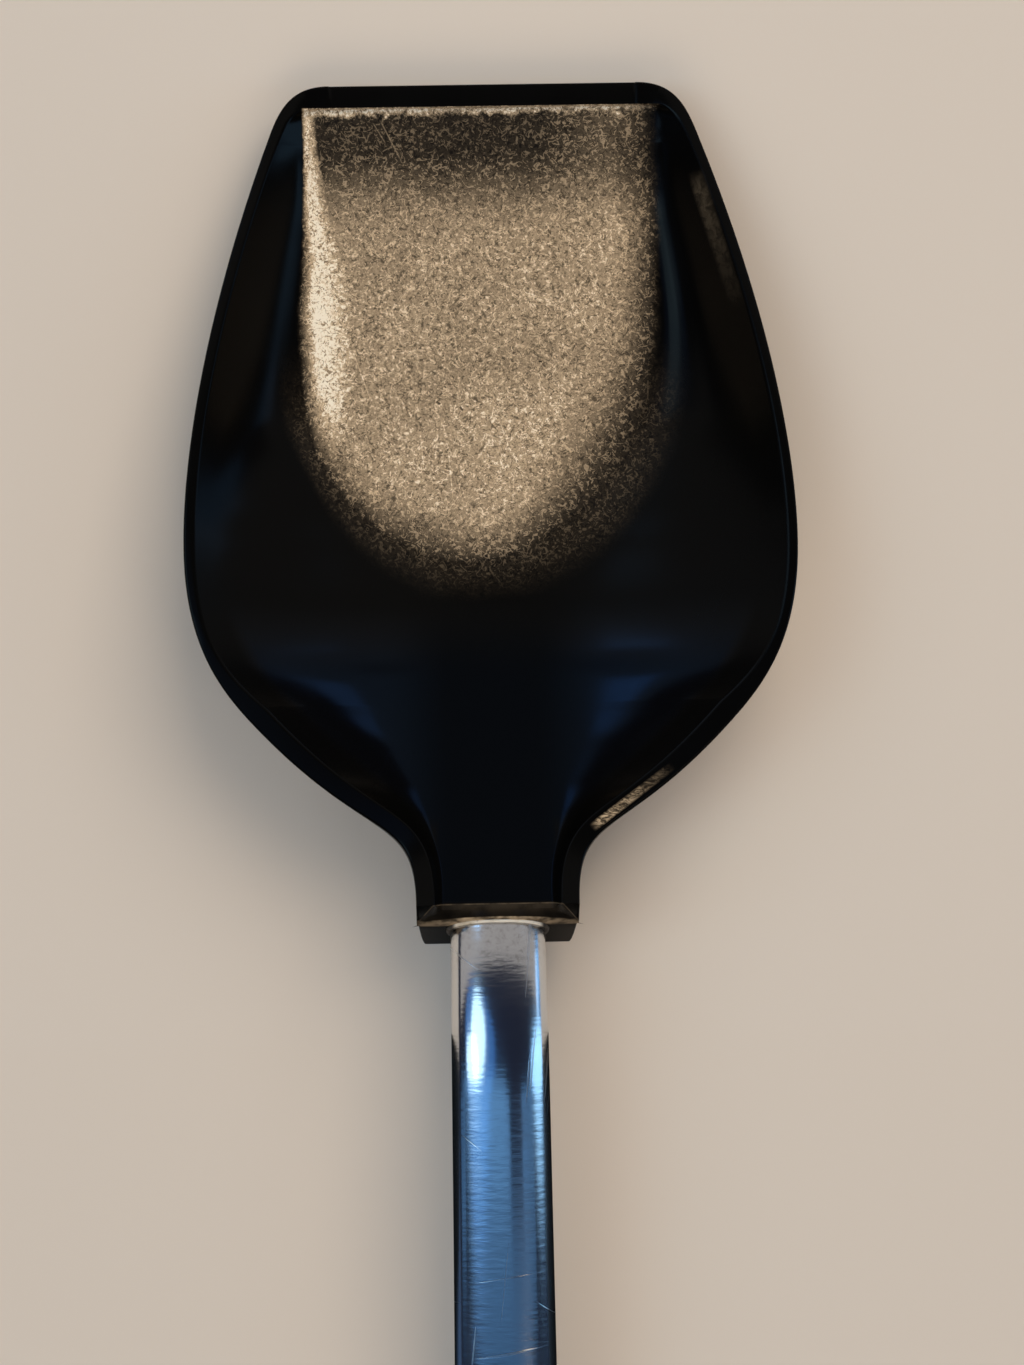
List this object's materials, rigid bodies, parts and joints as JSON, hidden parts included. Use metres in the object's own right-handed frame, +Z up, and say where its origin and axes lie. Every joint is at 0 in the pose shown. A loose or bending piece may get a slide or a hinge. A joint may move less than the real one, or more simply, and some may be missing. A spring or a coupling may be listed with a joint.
{
  "type": "serving spoon",
  "caption": "Flat-fronted black nylon serving spoon with a deep bowl, pinned to a hollow oval steel handle that ends in a nylon cap with a hanging hole.",
  "frame": {"origin": "centre of the flat underside of the bowl, on the surface that the spoon rests on", "axes": "+Y towards the straight front edge, +Z up out of the bowl, +X to the right; the handle runs towards -Y"},
  "size_m": [0.078, 0.3297, 0.0205],
  "materials": {
    "head_nylon": "moulded black nylon, glossy walls and a worn, grainy floor",
    "handle_steel": "mirror-polished stainless steel with fine scratches",
    "seal_bead": "cream sealant, slightly rough",
    "pin_steel": "ground steel",
    "cap_nylon": "moulded black nylon, satin"
  },
  "bodies": {
    "root": {"spoon_head": "head_nylon", "handle_tube": "handle_steel", "mouth_seal": "seal_bead", "head_pin": "pin_steel", "end_cap": "cap_nylon", "cap_pin": "pin_steel"}
  },
  "joints": []
}
